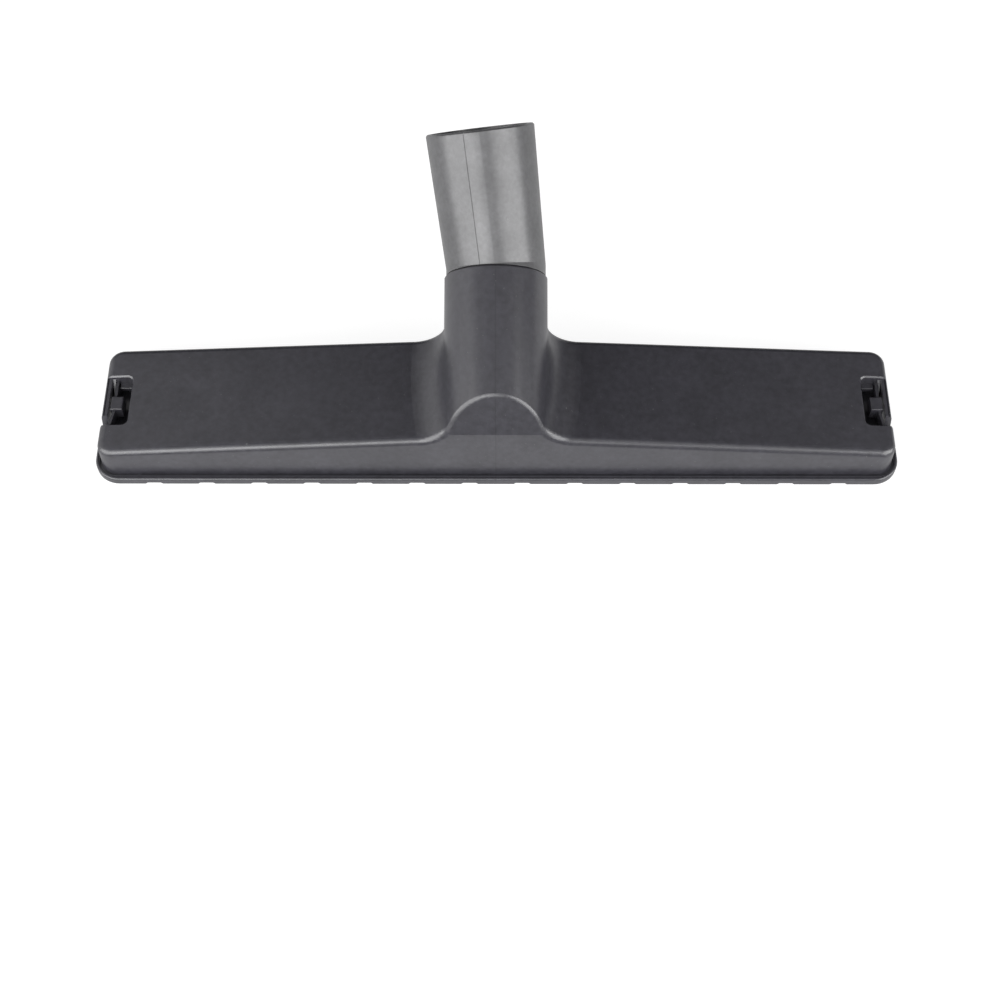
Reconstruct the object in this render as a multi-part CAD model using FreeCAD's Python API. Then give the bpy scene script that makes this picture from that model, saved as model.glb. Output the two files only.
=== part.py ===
import FreeCAD, Part
import math
import os

# Vacuum floor nozzle, 299 mm wide, with a swivelling elbow for 35 mm tubes.
# Millimetres, Z up, X along the width, Y to the back. The origin is the
# middle of the resting face of the rim.

# Rim that rests on the floor
rim_length = 299.2
rim_depth = 54.2
rim_height = 3.0
rim_corner = 9.6
rim_edge_round = 0.8
rim_recess = 1.3

# Flange between the rim edge and the casing wall
flange_end = 2.4
flange_side = 2.7
root_groove_width = 0.9
root_groove_depth = 1.0
bead_width = 0.9
bead_groove_width = 0.35
bead_groove_depth = 0.35

# Air notches in the lower edge of the rim
notch_pitch = 19.55
notch_width = 6.4
notch_depth = 0.8

# Casing
wall = 2.3
wall_corner = 6.0
draft = 1.3
end_draft = 0.6
draft_height = 19.0
end_height = 14.9
middle_height = 24.3
top_round = 2.8

# Neck that leans back out of the casing
neck_lean = 23.0
neck_radius = 18.95
neck_base_y = -9.8
neck_base_z = 25.5
neck_length = 48.2
neck_edge_bevel = 0.6
neck_blend = 14.0

# Sloped face of the hump over the front wall
arch_height = 26.8
arch_slope = 70.0
arch_round = 2.0

# Latch pockets at both ends
pocket_reach = 13.2
pocket_half = 10.6
pocket_corner = 2.2
pocket_bevel = 0.5
pocket_wall = 1.5
pocket_floor_z = 5.0
pocket_floor = 1.2
strip = 2.2
strip_drop = 1.0
strip_notch = 4.7
strip_notch_depth = 6.1
strip_notch_lean = 1.7
strip_groove_inset = 0.8
strip_groove_width = 0.4
strip_groove_depth = 0.5
lobe_round = 1.2
block_length = 4.5
block_half = 2.9
block_top_z = 13.5
block_foot_z = 8.3
block_round = 0.45
block_gap = 0.55
guide_offset = 1.3
guide_thickness = 1.0
guide_top_z = 12.4
guide_lean = 1.3
gusset_length = 4.8
gusset_top_z = 13.9
gusset_fall = 4.0
ledge_width = 5.4
ledge_length = 4.2
ledge_depth = 2.4
ledge_top_z = 11.0
ledge_height = 1.6

# Ribs under the roof
rib_thickness = 1.6
rib_bottom_z = 11.0
rib_first = 46.0
rib_pitch = 30.0

# Swivel joint between neck and elbow
fit_clearance = 0.1
gap = 0.3
spigot_length = 16.0
spigot_wall = 1.9
snap_height = 0.55
snap_width = 2.4
snap_depth = 9.0

# Elbow tube
bend = 22.5
swivel = 17.7
elbow_radius = 18.3
mouth_radius = 19.75
tube_length = 49.85
socket_radius = 17.6
socket_depth = 30.0
elbow_bore = 15.6
mouth_bevel = 0.6
parting_width = 0.35
parting_depth = 0.25

vec = FreeCAD.Vector
wall_length = rim_length - 2 * flange_end
wall_front = rim_depth / 2 - flange_side
bore_radius = neck_radius - wall
lean = math.radians(neck_lean)
neck_axis = vec(0, math.cos(lean), math.sin(lean))
neck_up = vec(0, -math.sin(lean), math.cos(lean))
neck_base = vec(0, neck_base_y, neck_base_z)
past_back = (rim_depth + 2 * neck_radius) / math.cos(lean)
sky = neck_base_z + past_back


# Closed plan outline with round corners
def outline(half, front, corner, z):
    x = half - corner
    y = front - corner
    edges = [Part.makeLine(vec(-x, -front, z), vec(x, -front, z))]
    edges.append(corner_arc(x, -y, corner, -90, z))
    edges.append(Part.makeLine(vec(half, -y, z), vec(half, y, z)))
    edges.append(corner_arc(x, y, corner, 0, z))
    edges.append(Part.makeLine(vec(x, front, z), vec(-x, front, z)))
    edges.append(corner_arc(-x, y, corner, 90, z))
    edges.append(Part.makeLine(vec(-half, y, z), vec(-half, -y, z)))
    edges.append(corner_arc(-x, -y, corner, 180, z))
    return Part.Wire(edges)


# Quarter circle of an outline that starts at an angle
def corner_arc(x, y, radius, start, z):
    points = []
    for step in (0, 45, 90):
        angle = math.radians(start + step)
        points.append(vec(x + radius * math.cos(angle), y + radius * math.sin(angle), z))
    return Part.Arc(points[0], points[1], points[2]).toShape()


# Upright block over an outline
def plate(half, front, corner, z, height):
    face = Part.Face(outline(half, front, corner, z))
    return face.extrude(vec(0, 0, height))


# Upright ring between two offsets of the same outline
def ring(outer, inner, z, height):
    big = plate(*outer, z, height)
    small = plate(*inner, z - 1.0, height + 2.0)
    return big.cut(small)


# Outline values of the casing wall, moved outwards by a distance
def wall_values(grow):
    return (wall_length / 2 + grow, wall_front + grow, wall_corner + grow)


# Outline values of the rim, moved inwards by a distance
def rim_values(inset):
    return (rim_length / 2 - inset, rim_depth / 2 - inset, rim_corner - inset)


# Drafted space inside the casing walls, moved inwards by a distance
def envelope(inset, bottom, top):
    wires = []
    for z in (bottom, top):
        share = z / draft_height
        half = wall_length / 2 - inset - end_draft * share
        front = wall_front - inset - draft * share
        wires.append(outline(half, front, wall_corner - inset - end_draft * share, z))
    return Part.makeLoft(wires, True, True)


# Height of the roof over a place along the width
def roof_height(x):
    slope = (middle_height - end_height) / (wall_length / 2)
    return middle_height - slope * abs(x)


# Block under the two sloping halves of the roof
def roof_block(drop, front, back):
    side = rim_length / 2 + 10.0
    points = [vec(-side, front, -5), vec(side, front, -5)]
    points.append(vec(side, front, roof_height(side) - drop))
    points.append(vec(0, front, middle_height - drop))
    points.append(vec(-side, front, roof_height(side) - drop))
    points.append(points[0])
    return Part.Face(Part.makePolygon(points)).extrude(vec(0, back - front, 0))


# Length of round bar along the neck axis
def neck_bar(radius, start, end):
    return Part.makeCylinder(radius, end - start, neck_base + neck_axis * start, neck_axis)


# Furthest place to the back where the neck still sinks well into the roof
def blend_back(inset):
    rise = 0.85 * (neck_radius - inset) / math.cos(lean)
    reach = neck_base_y + (middle_height - inset + rise - neck_base_z) / math.tan(lean)
    return min(wall_front + 0.5, reach)


# Roof and neck blended into one swept hump, moved inwards by a distance
def blended_top(inset):
    front = -rim_depth / 2 - 8.0
    back = blend_back(inset)
    roof = roof_block(inset, front, back)
    bar = neck_bar(neck_radius - inset, -past_back, past_back)
    keep = Part.makeBox(rim_length, back - front, 2 * sky, vec(-rim_length / 2, front, 0))
    joined = roof.fuse(bar.common(keep)).removeSplitter()
    seams = []
    for edge in joined.Edges:
        middle = edge.valueAt((edge.FirstParameter + edge.LastParameter) / 2)
        from_axis = middle.distanceToLine(neck_base, neck_axis)
        on_neck = abs(from_axis - neck_radius + inset) < 0.01
        on_roof = abs(middle.z - roof_height(middle.x) + inset) < 0.01
        if on_neck and on_roof and edge.BoundBox.YLength > rim_depth / 2:
            seams.append(edge)
    return joined.makeFillet(neck_blend + inset, seams)


# Wedge that slopes the front of the hump back above the front wall
def arch_wedge(inset):
    size = 4 * neck_radius
    block = Part.makeBox(size, size, size, vec(-size / 2, -size, 0))
    block.rotate(vec(0, 0, 0), vec(1, 0, 0), arch_slope - 90)
    front = wall_front - draft * arch_height / draft_height
    foot = vec(0, -front, arch_height)
    slope = math.radians(arch_slope)
    inward = vec(0, math.sin(slope), -math.cos(slope))
    block.translate(foot + inward * inset)
    return block


# Edges along the upper outline of the casing
def top_edges(body):
    found = []
    for edge in body.Edges:
        middle = edge.valueAt((edge.FirstParameter + edge.LastParameter) / 2)
        inside = abs(middle.x) < wall_length / 2 - 4 and abs(middle.y) < wall_front - 5
        if edge.BoundBox.ZMin > rim_height + 6 and not inside:
            found.append(edge)
    return found


# Edges around the sloped face of the hump
def arch_edges(body):
    slope = math.radians(arch_slope)
    normal = vec(0, -math.sin(slope), math.cos(slope))
    front = wall_front - draft * arch_height / draft_height
    foot = vec(0, -front, arch_height)
    found = []
    for edge in body.Edges:
        on_plane = True
        for part in (0.0, 0.5, 1.0):
            at = edge.FirstParameter + part * (edge.LastParameter - edge.FirstParameter)
            if abs((edge.valueAt(at) - foot).dot(normal)) > 0.02:
                on_plane = False
        if on_plane and edge.BoundBox.ZMax > arch_height + 0.5:
            found.append(edge)
    return found


# Outer skin of the casing with its neck
def outer_skin():
    space = envelope(0.0, 0.0, sky)
    body = blended_top(0.0).common(space)
    if blend_back(0.0) < wall_front:
        body = body.fuse(roof_block(0.0, -rim_depth, rim_depth).common(space))
    body = body.makeFillet(top_round, top_edges(body))
    body = body.cut(arch_wedge(0.0))
    body = body.makeFillet(arch_round, arch_edges(body))
    body = body.cut(neck_bar(3 * neck_radius, neck_length, neck_length + 2 * past_back))
    stub = neck_bar(neck_radius, neck_length / 2, neck_length)
    beveled = stub.makeChamfer(neck_edge_bevel, [end_circle(stub, neck_end)])
    return body.fuse(beveled)


# Round edge of a bar closest to a place
def end_circle(body, place):
    best = None
    for edge in body.Edges:
        if edge.Curve.TypeId == "Part::GeomCircle":
            away = (edge.Curve.Center - place).Length
            if best is None or away < best[0]:
                best = (away, edge)
    return best[1]


# Hollow under the roof and up through the neck
def inner_hollow():
    space = envelope(wall, -wall, sky)
    hollow = blended_top(wall).common(space)
    hollow = hollow.fuse(roof_block(wall, -rim_depth, rim_depth).common(space))
    hollow = hollow.cut(arch_wedge(wall))
    hollow = hollow.cut(neck_bar(3 * neck_radius, neck_length, neck_length + 2 * past_back))
    bore = neck_bar(bore_radius, neck_length / 4, neck_length + wall)
    return hollow.fuse(bore)


# Flat rim around the foot of the casing with its root groove and edge bead
def rim():
    body = plate(*rim_values(0.0), 0.0, rim_height)
    upper = []
    for edge in body.Edges:
        if edge.BoundBox.ZMin > rim_height - 0.01:
            upper.append(edge)
    body = body.makeFillet(rim_edge_round, upper)
    root = ring(wall_values(root_groove_width), wall_values(-1.0), rim_height - root_groove_depth, 5.0)
    inner_edge = rim_values(bead_width + bead_groove_width)
    bead = ring(rim_values(bead_width), inner_edge, rim_height - bead_groove_depth, 5.0)
    body = body.cut(root).cut(bead)
    for side in (-1, 1):
        body = body.cut(finger_recess(side))
    return body


# Shallow recess in the end of the rim, below a latch pocket
def finger_recess(side):
    x0 = rim_length / 2 - rim_recess
    x1 = rim_length / 2 + 1
    flare = pocket_half + 2 * (x1 - x0)
    plan = [(x0, -pocket_half), (x1, -flare), (x1, flare), (x0, pocket_half)]
    return end_prism(side, plan, -1, rim_height + 1)


# Shallow notches across the lower edge that let air in under the rim
def air_notches():
    solids = []
    notch_count = int((rim_length - 2 * rim_corner) / notch_pitch)
    first = -notch_pitch * (notch_count - 1) / 2
    for number in range(notch_count):
        middle = first + number * notch_pitch
        half = notch_width / 2
        front = -rim_depth
        points = [vec(middle - half - 1, front, -1), vec(middle + half + 1, front, -1)]
        points.append(vec(middle + half - notch_depth, front, notch_depth))
        points.append(vec(middle - half + notch_depth, front, notch_depth))
        points.append(points[0])
        face = Part.Face(Part.makePolygon(points))
        solids.append(face.extrude(vec(0, 2 * rim_depth, 0)))
    return Part.makeCompound(solids)


# Cross ribs that stiffen the roof from below
def roof_ribs(hollow):
    solids = []
    place = rib_first
    while place < pocket_inner_x - rib_pitch / 2:
        for side in (-1, 1):
            corner = vec(side * place - rib_thickness / 2, -rim_depth, rib_bottom_z)
            rib = Part.makeBox(rib_thickness, 2 * rim_depth, sky, corner)
            solids.append(rib.common(hollow))
        place = place + rib_pitch
    return solids


# Box between two places along the width, mirrored to one end of the casing
def end_box(side, x0, x1, half_y, z0, z1):
    left = min(side * x0, side * x1)
    return Part.makeBox(abs(x1 - x0), 2 * half_y, z1 - z0, vec(left, -half_y, z0))


# Walls and floor of one latch pocket below the roof
def pocket_frame(side, hollow):
    x0 = pocket_inner_x - pocket_wall
    half = pocket_half + pocket_wall
    block = end_box(side, x0, wall_length / 2, half, pocket_floor_z, end_height + wall)
    return block.common(hollow)


# Opening of one latch pocket through the roof, with the slot for a latch
def pocket_opening(side):
    floor_top = pocket_floor_z + pocket_floor
    opening = end_box(side, pocket_inner_x, strip_x, pocket_half, floor_top, sky)
    corners = []
    for edge in opening.Edges:
        upright = edge.BoundBox.ZLength > sky / 2
        inner = abs(abs(edge.BoundBox.Center.x) - pocket_inner_x) < 0.1
        if upright and inner:
            corners.append(edge)
    opening = opening.makeFillet(pocket_corner, corners)
    top = end_box(side, pocket_inner_x + pocket_corner, rim_length, pocket_half, strip_top_z, sky)
    latch_slot = end_box(side, strip_x - guide_offset, strip_x, pocket_half - 1.0, 0.0, floor_top + 1)
    opening = opening.fuse(top).fuse(latch_slot).fuse(strip_slot(side)).fuse(strip_groove(side))
    for cutter in beveled_mouth(side):
        opening = opening.fuse(cutter)
    return opening


# Profile of the space above a beveled edge that faces one way
def edge_profile(corner, outward):
    up = vec(0, 0, 1)
    past = corner + outward * pocket_bevel
    low = corner - up * pocket_bevel
    return Part.Face(Part.makePolygon([past, past + up * wall, corner + up * wall, low, past]))


# Space above the beveled back, front and inner edges of one latch pocket
def beveled_mouth(side):
    x0 = pocket_inner_x + pocket_corner
    level = roof_height(x0)
    along = vec(side * rim_depth, 0, roof_height(x0 + rim_depth) - level)
    straight = pocket_half - pocket_corner
    inner_face = edge_profile(vec(side * pocket_inner_x, -straight, level), vec(-side, 0, 0))
    cutters = [inner_face.extrude(vec(0, 2 * straight, 0))]
    for end in (-1, 1):
        face = edge_profile(vec(side * x0, end * pocket_half, level), vec(0, end, 0))
        cutters.append(face.extrude(along))
        pin = vec(side * x0, end * straight, level)
        cutters.append(face.revolve(pin, vec(0, 0, 1), 90.0 * side * end))
    return cutters


# Slot that frees the front end of the end strip, round towards the outside
def strip_slot(side):
    low = strip_top_z - strip_notch_depth
    x0 = strip_x - 1.0
    y0 = -pocket_half
    y1 = y0 + strip_notch
    points = [vec(side * x0, y0, low), vec(side * x0, y1 - strip_notch_lean, low)]
    points.append(vec(side * x0, y1, strip_top_z))
    points.append(vec(side * x0, y1, sky))
    points.append(vec(side * x0, y0, sky))
    points.append(points[0])
    slot = Part.Face(Part.makePolygon(points)).extrude(vec(side * rim_depth, 0, 0))
    outer = strip_x + strip
    square = Part.makeBox(2 * lobe_round, lobe_round, sky, vec(-lobe_round, -pocket_half - lobe_round, low))
    pin = Part.makeCylinder(lobe_round, sky, vec(-lobe_round, -pocket_half - lobe_round, low))
    flare = square.cut(pin)
    if side < 0:
        flare = flare.mirror(vec(0, 0, 0), vec(1, 0, 0))
    flare.translate(vec(side * outer, 0, 0))
    return slot.fuse(flare)


# Narrow groove along the top of the end strip
def strip_groove(side):
    x1 = strip_x + strip - strip_groove_inset
    low = strip_top_z - strip_groove_depth
    return end_box(side, x1 - strip_groove_width, x1, pocket_half, low, strip_top_z + 1)


# Upright block over a plan polygon, mirrored to one end of the casing
def end_prism(side, plan, z0, z1):
    points = []
    for x, y in plan:
        points.append(vec(side * x, y, z0))
    points.append(points[0])
    return Part.Face(Part.makePolygon(points)).extrude(vec(0, 0, z1 - z0))


# Block on the guide wall that a latch hooks over, its upper edges rounded
def latch_block(side):
    x1 = strip_x - block_gap
    block = end_box(side, x1 - block_length, x1, block_half, block_foot_z, block_top_z)
    upper = []
    for edge in block.Edges:
        if edge.BoundBox.ZMin > block_top_z - 0.01:
            upper.append(edge)
    return block.makeFillet(block_round, upper)


# Guide wall inside the end strip, its front part leaning out to the strip
def guide_wall(side):
    outer = strip_x - guide_offset
    inner = outer - guide_thickness
    far = pocket_half + 0.5
    turn = -block_half
    tip = outer + guide_lean
    plan = [(inner, far), (outer, far), (outer, turn), (tip, -far), (tip - guide_thickness, -far), (inner, turn)]
    return end_prism(side, plan, pocket_floor_z, guide_top_z)


# Pointed gusset between guide wall and end strip, falling towards its tip
def back_gusset(side):
    far = pocket_half + 0.5
    outer = strip_x + 0.1
    inner = strip_x - guide_offset - 0.1
    plan = [(inner, far), (outer, far), ((inner + outer) / 2, far - gusset_length)]
    prism = end_prism(side, plan, pocket_floor_z, gusset_top_z + gusset_fall)
    x0 = side * inner - 2
    cutter = [vec(x0, far, gusset_top_z), vec(x0, far - gusset_length, gusset_top_z - gusset_fall)]
    cutter.append(vec(x0, far - gusset_length - 1, sky))
    cutter.append(vec(x0, far + 1, sky))
    cutter.append(vec(x0, far + 1, gusset_top_z))
    cutter.append(cutter[0])
    return prism.cut(Part.Face(Part.makePolygon(cutter)).extrude(vec(2 * wall + 2, 0, 0)))


# Small ledge in the inner back corner of the pocket
def pocket_ledge(side):
    low = ledge_top_z - ledge_height
    x1 = pocket_inner_x + ledge_width
    block = end_box(side, x1 - ledge_length, x1, pocket_half + 0.5, low, ledge_top_z)
    keep = Part.makeBox(2 * rim_length, ledge_depth + 0.5, sky, vec(-rim_length, pocket_half - ledge_depth, 0))
    ledge = block.common(keep)
    front = []
    for edge in ledge.Edges:
        if edge.BoundBox.ZMin > ledge_top_z - 0.01 and edge.BoundBox.YMax < pocket_half:
            front.append(edge)
    return ledge.makeFillet(block_round, front)


# Groove in the neck bore that holds the snap ring of the elbow
def snap_groove():
    middle = neck_length - snap_depth
    half = snap_width / 2 + gap
    return neck_bar(bore_radius + snap_height + 0.2, middle - half, middle + half)


# Housing moulded in one piece with the neck and the rim
def housing():
    hollow = inner_hollow()
    body = outer_skin().fuse(rim()).cut(hollow)
    body = body.cut(snap_groove())
    for side in (-1, 1):
        body = body.fuse(pocket_frame(side, hollow))
    for rib in roof_ribs(hollow):
        body = body.fuse(rib)
    for side in (-1, 1):
        body = body.cut(pocket_opening(side))
        for detail in (guide_wall(side), latch_block(side), back_gusset(side), pocket_ledge(side)):
            body = body.fuse(detail)
    return body.cut(air_notches())


# Outside of the elbow, moved inwards by a distance and longer by another
def elbow_outside(inset, extra):
    collar = neck_bar(elbow_radius - inset, neck_length + gap - extra, neck_length + pivot_rise)
    ball = Part.makeSphere(elbow_radius - inset, pivot)
    length = tube_length + extra
    end_radius = elbow_radius + (mouth_radius - elbow_radius) * length / tube_length
    tube = Part.makeCone(elbow_radius - inset, end_radius - inset, length, pivot, tube_axis)
    return collar, ball, tube


# Groove that the two mould halves leave around the elbow
def parting_groove():
    across = neck_axis.cross(tube_axis).normalize()
    size = 4 * tube_length
    slab = Part.makeBox(size, size, parting_width, vec(-size / 2, -size / 2, -parting_width / 2))
    slab.Placement = FreeCAD.Placement(pivot, FreeCAD.Rotation(vec(0, 0, 1), across))
    for piece in elbow_outside(parting_depth, 2.0):
        slab = slab.cut(piece)
    return slab


# Swivelling elbow with its spigot, snap ring and tube socket
def elbow_tube():
    collar, ball, tube = elbow_outside(0.0, 0.0)
    mouth = pivot + tube_axis * tube_length
    tube = tube.makeChamfer(mouth_bevel, [end_circle(tube, mouth)])
    low_cut = neck_bar(elbow_radius * 2, neck_length - 2 * elbow_radius, neck_length + gap)
    head = collar.fuse(ball).fuse(tube).cut(low_cut).cut(parting_groove())
    spigot = neck_bar(spigot_radius, neck_length - spigot_length, neck_length + gap + 1.0)
    middle = neck_length - snap_depth
    snap = neck_bar(spigot_radius + snap_height, middle - snap_width / 2, middle + snap_width / 2)
    body = head.fuse(spigot).fuse(snap)
    return body.cut(elbow_duct())


# Air way through the elbow with the socket for the suction tube
def elbow_duct():
    past = elbow_bore * math.tan(math.radians(bend) / 2)
    low = neck_length - spigot_length - 1
    lower = neck_bar(spigot_radius - spigot_wall, low, neck_length + pivot_rise + past)
    upper = Part.makeCylinder(elbow_bore, tube_length + past + 1, pivot - tube_axis * past, tube_axis)
    seat = pivot + tube_axis * (tube_length - socket_depth)
    socket = Part.makeCylinder(socket_radius, socket_depth + 1, seat, tube_axis)
    return lower.fuse(upper).fuse(socket)


neck_end = neck_base + neck_axis * neck_length
spigot_radius = bore_radius - fit_clearance
pivot_rise = gap + 0.4 + elbow_radius * math.tan(math.radians(bend) / 2)
pivot = neck_base + neck_axis * (neck_length + pivot_rise)
turn_angle = math.radians(swivel)
sideways = neck_up * math.cos(turn_angle) + vec(-math.sin(turn_angle), 0, 0)
tube_axis = neck_axis * math.cos(math.radians(bend)) + sideways * math.sin(math.radians(bend))
pocket_inner_x = rim_length / 2 - pocket_reach
strip_top_z = end_height - strip_drop
strip_x = wall_length / 2 - end_draft * strip_top_z / draft_height - strip

os.makedirs("parts", exist_ok=True)
housing().exportStep("parts/housing.step")
elbow_tube().exportStep("parts/elbow_tube.step")
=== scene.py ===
import math

import bpy
from mathutils import Matrix, Vector

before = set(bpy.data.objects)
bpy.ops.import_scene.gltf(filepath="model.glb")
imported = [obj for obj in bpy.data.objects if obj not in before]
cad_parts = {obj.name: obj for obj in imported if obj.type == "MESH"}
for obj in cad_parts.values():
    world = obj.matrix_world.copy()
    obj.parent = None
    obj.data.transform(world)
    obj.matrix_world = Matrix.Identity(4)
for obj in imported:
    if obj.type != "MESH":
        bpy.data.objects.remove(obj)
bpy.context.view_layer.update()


# Housing. One moulding of black polypropylene: the wide casing, the rim it
# rests on, the latch pockets and the leaning neck. The mould was spark
# eroded, so the skin is satin with a fine grain and a cloudy sheen.
def add_node(tree, kind, **values):
    """A new node, its sockets set by name, with _ for a space."""
    node = tree.nodes.new(kind)
    for name, value in values.items():
        node.inputs[name.replace("_", " ")].default_value = value
    return node


def ramp(tree, source, span, values):
    """Runs through the pair of values while the source runs through the span."""
    node = add_node(tree, "ShaderNodeMapRange", From_Min=span[0], From_Max=span[1],
                    To_Min=values[0], To_Max=values[1])
    tree.links.new(source, node.inputs["Value"])
    return node.outputs["Result"]


def calculate(tree, operation, *sources):
    """The sum, product or absolute value of the sources."""
    node = tree.nodes.new("ShaderNodeMath")
    node.operation = operation
    for socket, source in zip(node.inputs, sources):
        tree.links.new(source, socket)
    return node.outputs["Value"]


def mix_colours(tree, blend, share, under, over):
    """One colour laid over another. Each of the last three is a socket or a plain value."""
    node = tree.nodes.new("ShaderNodeMix")
    node.data_type = "RGBA"
    node.blend_type = blend
    inputs = {socket.identifier: socket for socket in node.inputs}
    outputs = {socket.identifier: socket for socket in node.outputs}
    for identifier, value in (("Factor_Float", share), ("A_Color", under), ("B_Color", over)):
        if isinstance(value, bpy.types.NodeSocket):
            tree.links.new(value, inputs[identifier])
        else:
            inputs[identifier].default_value = value
    return outputs["Result_Color"]


def satin_plastic(name, black, roughness, grain_size, cloud_size, grain_height, seam_width):
    """Moulded plastic. Clouds and small patches vary its shade and sheen, eroded grain
    is seen as bump, a few pale specks lie on it, and a hairline marks the mould's
    parting plane at X = 0 where seam_width isn't 0."""
    noise_span = (0.3, 0.7)    # holds most values of a noise
    cloud_shades, cloud_sheen = (0.9, 1.1), 0.03
    patches_per_cloud, patch_shades = 6.0, (0.8, 1.2)
    specks_per_grain, speck_peaks, speck_cover = 0.9, (0.74, 0.82), 0.6
    dust_grey = (0.2, 0.2, 0.205, 1.0)
    seam_core, seam_shade = 0.3, 0.8    # the seam is darkest in the core of its width

    material = bpy.data.materials.new(name)
    material.use_nodes = True
    tree = material.node_tree
    tree.nodes.clear()
    link = tree.links.new
    place = tree.nodes.new("ShaderNodeTexCoord")
    cloud = add_node(tree, "ShaderNodeTexNoise", Scale=1.0 / cloud_size,
                     Detail=2.0, Roughness=0.5)
    patch = add_node(tree, "ShaderNodeTexNoise", Scale=patches_per_cloud / cloud_size,
                     Detail=3.0, Roughness=0.6)
    grain = add_node(tree, "ShaderNodeTexNoise", Scale=1.0 / grain_size,
                     Detail=3.0, Roughness=0.6)
    speck = add_node(tree, "ShaderNodeTexNoise", Scale=specks_per_grain / grain_size,
                     Detail=1.0, Distortion=0.6)
    for texture in (cloud, patch, grain, speck):
        link(place.outputs["Object"], texture.inputs["Vector"])

    shade = calculate(tree, "MULTIPLY",
                      ramp(tree, cloud.outputs["Fac"], noise_span, cloud_shades),
                      ramp(tree, patch.outputs["Fac"], noise_span, patch_shades))
    height = grain.outputs["Fac"]
    if seam_width:
        split = tree.nodes.new("ShaderNodeSeparateXYZ")
        link(place.outputs["Object"], split.inputs["Vector"])
        side = calculate(tree, "ABSOLUTE", split.outputs["X"])
        seam = ramp(tree, side, (seam_core * seam_width, seam_width), (0.0, 1.0))
        shade = calculate(tree, "MULTIPLY", shade,
                          ramp(tree, seam, (0.0, 1.0), (seam_shade, 1.0)))
        height = calculate(tree, "MULTIPLY", height, seam)

    shaded_black = mix_colours(tree, "MULTIPLY", 1.0, black, shade)
    dust = ramp(tree, speck.outputs["Fac"], speck_peaks, (0.0, speck_cover))
    sheen = ramp(tree, cloud.outputs["Fac"], noise_span,
                 (roughness + cloud_sheen, roughness - cloud_sheen))
    bump = add_node(tree, "ShaderNodeBump", Strength=1.0, Distance=grain_height)
    link(height, bump.inputs["Height"])
    shader = add_node(tree, "ShaderNodeBsdfPrincipled", IOR=1.88)
    link(mix_colours(tree, "MIX", dust, shaded_black, dust_grey), shader.inputs["Base Color"])
    link(sheen, shader.inputs["Roughness"])
    link(bump.outputs["Normal"], shader.inputs["Normal"])
    out = tree.nodes.new("ShaderNodeOutputMaterial")
    link(shader.outputs["BSDF"], out.inputs["Surface"])
    return material


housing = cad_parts["housing"]
housing.material_slots[0].material = satin_plastic(
    "housing_satin", black=(0.0430, 0.0420, 0.0512, 1.0), roughness=0.33, grain_size=0.0007,
    cloud_size=0.014, grain_height=0.000014, seam_width=0.00035)


# Elbow tube. The bent tube that takes the vacuum's tube, moulded from the
# same black plastic in two mould halves, and snapped into the neck, where
# it turns. Its skin is a little paler and its parting line is a real groove.
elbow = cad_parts["elbow_tube"]
elbow.material_slots[0].material = satin_plastic(
    "elbow_satin", black=(0.0925, 0.0925, 0.0970, 1.0), roughness=0.35, grain_size=0.0006,
    cloud_size=0.011, grain_height=0.000012, seam_width=0.0)


# Table. A white, matt sheet that the nozzle stands on. Seen directly it is
# white apart from the soft shadow. In the plastic it is a painted reflection:
# a glow that only glossy rays see, pale grey near the nozzle, with a painted
# dark strip in front of the nozzle and a darker part beyond the strip, which
# paint the dark line under the plastic's edge highlights.
def shown_to(tree, ray, shown, otherwise):
    """One surface for this kind of ray, and the other for all the rest."""
    path = tree.nodes.new("ShaderNodeLightPath")
    choose = tree.nodes.new("ShaderNodeMixShader")
    tree.links.new(path.outputs[ray], choose.inputs["Fac"])
    for socket, source in zip(choose.inputs[1:], (otherwise, shown)):
        tree.links.new(source, socket)
    return choose.outputs["Shader"]


plain_white = (1.0, 1.0, 1.0, 1.0)
table_colour = (0.8, 0.8, 0.8, 1.0)
shadow_colour = (0.33, 0.33, 0.33, 1.0)    # what a full shadow takes from the white
# Strengths of the painted reflection, near the nozzle and beyond the painted dark strip.
painted_reflection_near, painted_reflection_far = 0.7, 0.29
strip_near_edge, strip_far_edge = (-0.062, -0.054), (-0.115, -0.09)    # along Y
glow_near, glow_far, glow_span = 0.86, 1.0, (0.4, 1.2)    # less near the shadow
reach = 3.0

table_mesh = bpy.data.meshes.new("table")
table_mesh.from_pydata(
    [(-reach, -reach, 0), (reach, -reach, 0), (reach, reach, 0), (-reach, reach, 0)],
    [], [(0, 1, 2, 3)])
table = bpy.data.objects.new("table", table_mesh)
bpy.context.scene.collection.objects.link(table)
table_white = bpy.data.materials.new("table_white")
table_white.use_nodes = True
tree = table_white.node_tree
tree.nodes.clear()
place = tree.nodes.new("ShaderNodeTexCoord")
split = tree.nodes.new("ShaderNodeSeparateXYZ")
tree.links.new(place.outputs["Object"], split.inputs["Vector"])
distance = tree.nodes.new("ShaderNodeVectorMath")
distance.operation = "LENGTH"
tree.links.new(place.outputs["Object"], distance.inputs[0])

matt = add_node(tree, "ShaderNodeBsdfDiffuse", Color=table_colour)
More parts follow.
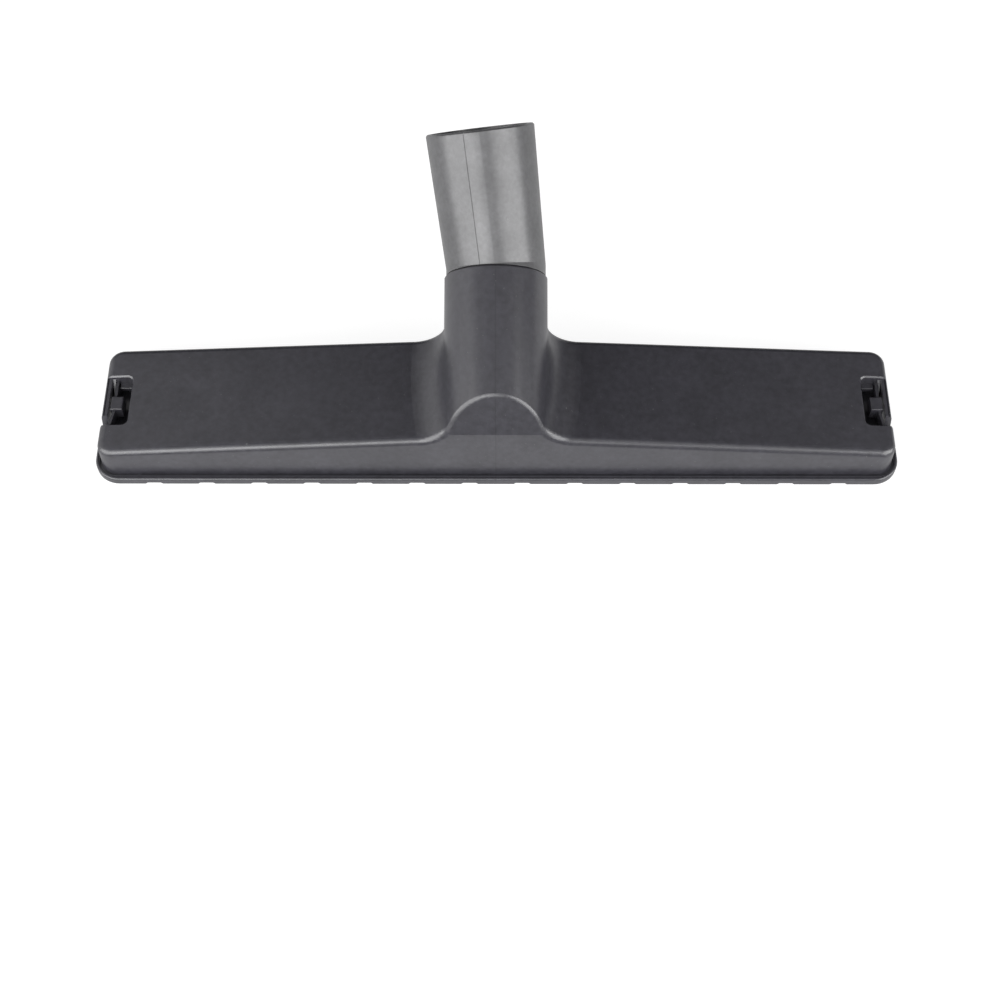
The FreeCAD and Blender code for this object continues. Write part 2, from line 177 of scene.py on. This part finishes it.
# Painted reflection: a glow that only glossy rays see, pale near the nozzle, none in the
# painted dark strip and dimmer beyond it.
painted_reflection = add_node(tree, "ShaderNodeEmission", Color=plain_white)
painted_reflection_strength = calculate(tree, "ADD",
                       ramp(tree, split.outputs["Y"], strip_near_edge, (0.0, painted_reflection_near)),
                       ramp(tree, split.outputs["Y"], strip_far_edge, (painted_reflection_far, 0.0)))
tree.links.new(painted_reflection_strength, painted_reflection.inputs["Strength"])
seen_matt = add_node(tree, "ShaderNodeBsdfDiffuse", Color=shadow_colour)
glow = add_node(tree, "ShaderNodeEmission", Color=plain_white)
tree.links.new(ramp(tree, distance.outputs["Value"], glow_span, (glow_near, glow_far)),
               glow.inputs["Strength"])
seen = tree.nodes.new("ShaderNodeAddShader")
tree.links.new(seen_matt.outputs["BSDF"], seen.inputs[0])
tree.links.new(glow.outputs["Emission"], seen.inputs[1])
# Glossy rays see the painted reflection, other rays that are not camera rays see the matt
# white.
surface = shown_to(tree, "Is Glossy Ray", painted_reflection.outputs["Emission"], matt.outputs["BSDF"])
surface = shown_to(tree, "Is Camera Ray", seen.outputs["Shader"], surface)
out = tree.nodes.new("ShaderNodeOutputMaterial")
tree.links.new(surface, out.inputs["Surface"])
table_mesh.materials.append(table_white)


# Light. Two large soft boxes in front, left and right, each with a small low
# one beside it, a dim one between them, one overhead, and weak ones at the
# ends and behind, so that the whole nozzle shows. The room is almost dark.
aim = Vector((0.0, 0.0, 0.03))
lamp_distance = 1.6
room_strength, backdrop_strength = 0.012, 1.0


def soft_box(name, azimuth, elevation, width, height, radiance):
    """A lamp that looks at the nozzle. Azimuth 0 is in front, positive to the right."""
    turn, rise = math.radians(azimuth), math.radians(elevation)
    way = Vector((math.sin(turn) * math.cos(rise), -math.cos(turn) * math.cos(rise),
                  math.sin(rise)))
    lamp = bpy.data.lights.new(name, "AREA")
    lamp.shape = "RECTANGLE"
    lamp.size = width
    lamp.size_y = height
    lamp.energy = radiance * math.pi * width * height
    box = bpy.data.objects.new(name, lamp)
    facing = way.to_track_quat("Z", "Y").to_matrix().to_4x4()
    box.matrix_world = Matrix.Translation(aim + way * lamp_distance) @ facing
    bpy.context.scene.collection.objects.link(box)


for name, azimuth, elevation, width, height, radiance in (
        ("left_box", -45, 25, 1.8, 1.3, 3.1),
        ("left_low_box", -78, 8, 0.5, 0.5, 3.7),
        ("right_box", 53, 25, 1.3, 1.2, 3.45),
        ("right_low_box", 78, 8, 0.5, 0.5, 4.85),
        ("front_box", -8, 33, 0.95, 0.85, 1.82),
        ("top_box", 0, 68, 2.2, 0.9, 0.42),
        ("left_side_box", -110, 20, 1.2, 1.1, 0.68),
        ("right_side_box", 110, 20, 1.2, 1.1, 0.12),
        ("left_back_box", -124, 50, 1.0, 0.9, 0.48),
        ("right_back_box", 124, 50, 1.0, 0.9, 0.21)):
    soft_box(name, azimuth, elevation, width, height, radiance)

room = bpy.data.worlds.new("room")
room.use_nodes = True
tree = room.node_tree
tree.nodes.clear()
grey = add_node(tree, "ShaderNodeBackground", Color=plain_white, Strength=room_strength)
white = add_node(tree, "ShaderNodeBackground", Color=plain_white, Strength=backdrop_strength)
out = tree.nodes.new("ShaderNodeOutputWorld")
backdrop = shown_to(tree, "Is Camera Ray", white.outputs["Background"],
                    grey.outputs["Background"])
tree.links.new(backdrop, out.inputs["Surface"])
bpy.context.scene.world = room


# Camera. Above and in front of the nozzle, where the photograph was taken
# from, looking down at about 60 degrees and framing the same field.
stand_point = (0.0056, -0.3424, 0.52633)
look_down, look_side, roll = math.radians(59.629), math.radians(-0.725), math.radians(-0.555)
camera = bpy.data.cameras.new("camera")
camera.sensor_width = 36.0
camera.lens = 59.4
camera.clip_start = 0.01
camera.shift_x = -0.0004
camera_object = bpy.data.objects.new("camera", camera)
bpy.context.scene.collection.objects.link(camera_object)
camera_object.matrix_world = (
    Matrix.Translation(stand_point)
    @ Matrix.Rotation(-look_side, 4, "Z")
    @ Matrix.Rotation(math.pi / 2 - look_down, 4, "X")
    @ Matrix.Rotation(roll, 4, "Z"))
bpy.context.scene.camera = camera_object
bpy.context.scene.view_settings.view_transform = "Standard"
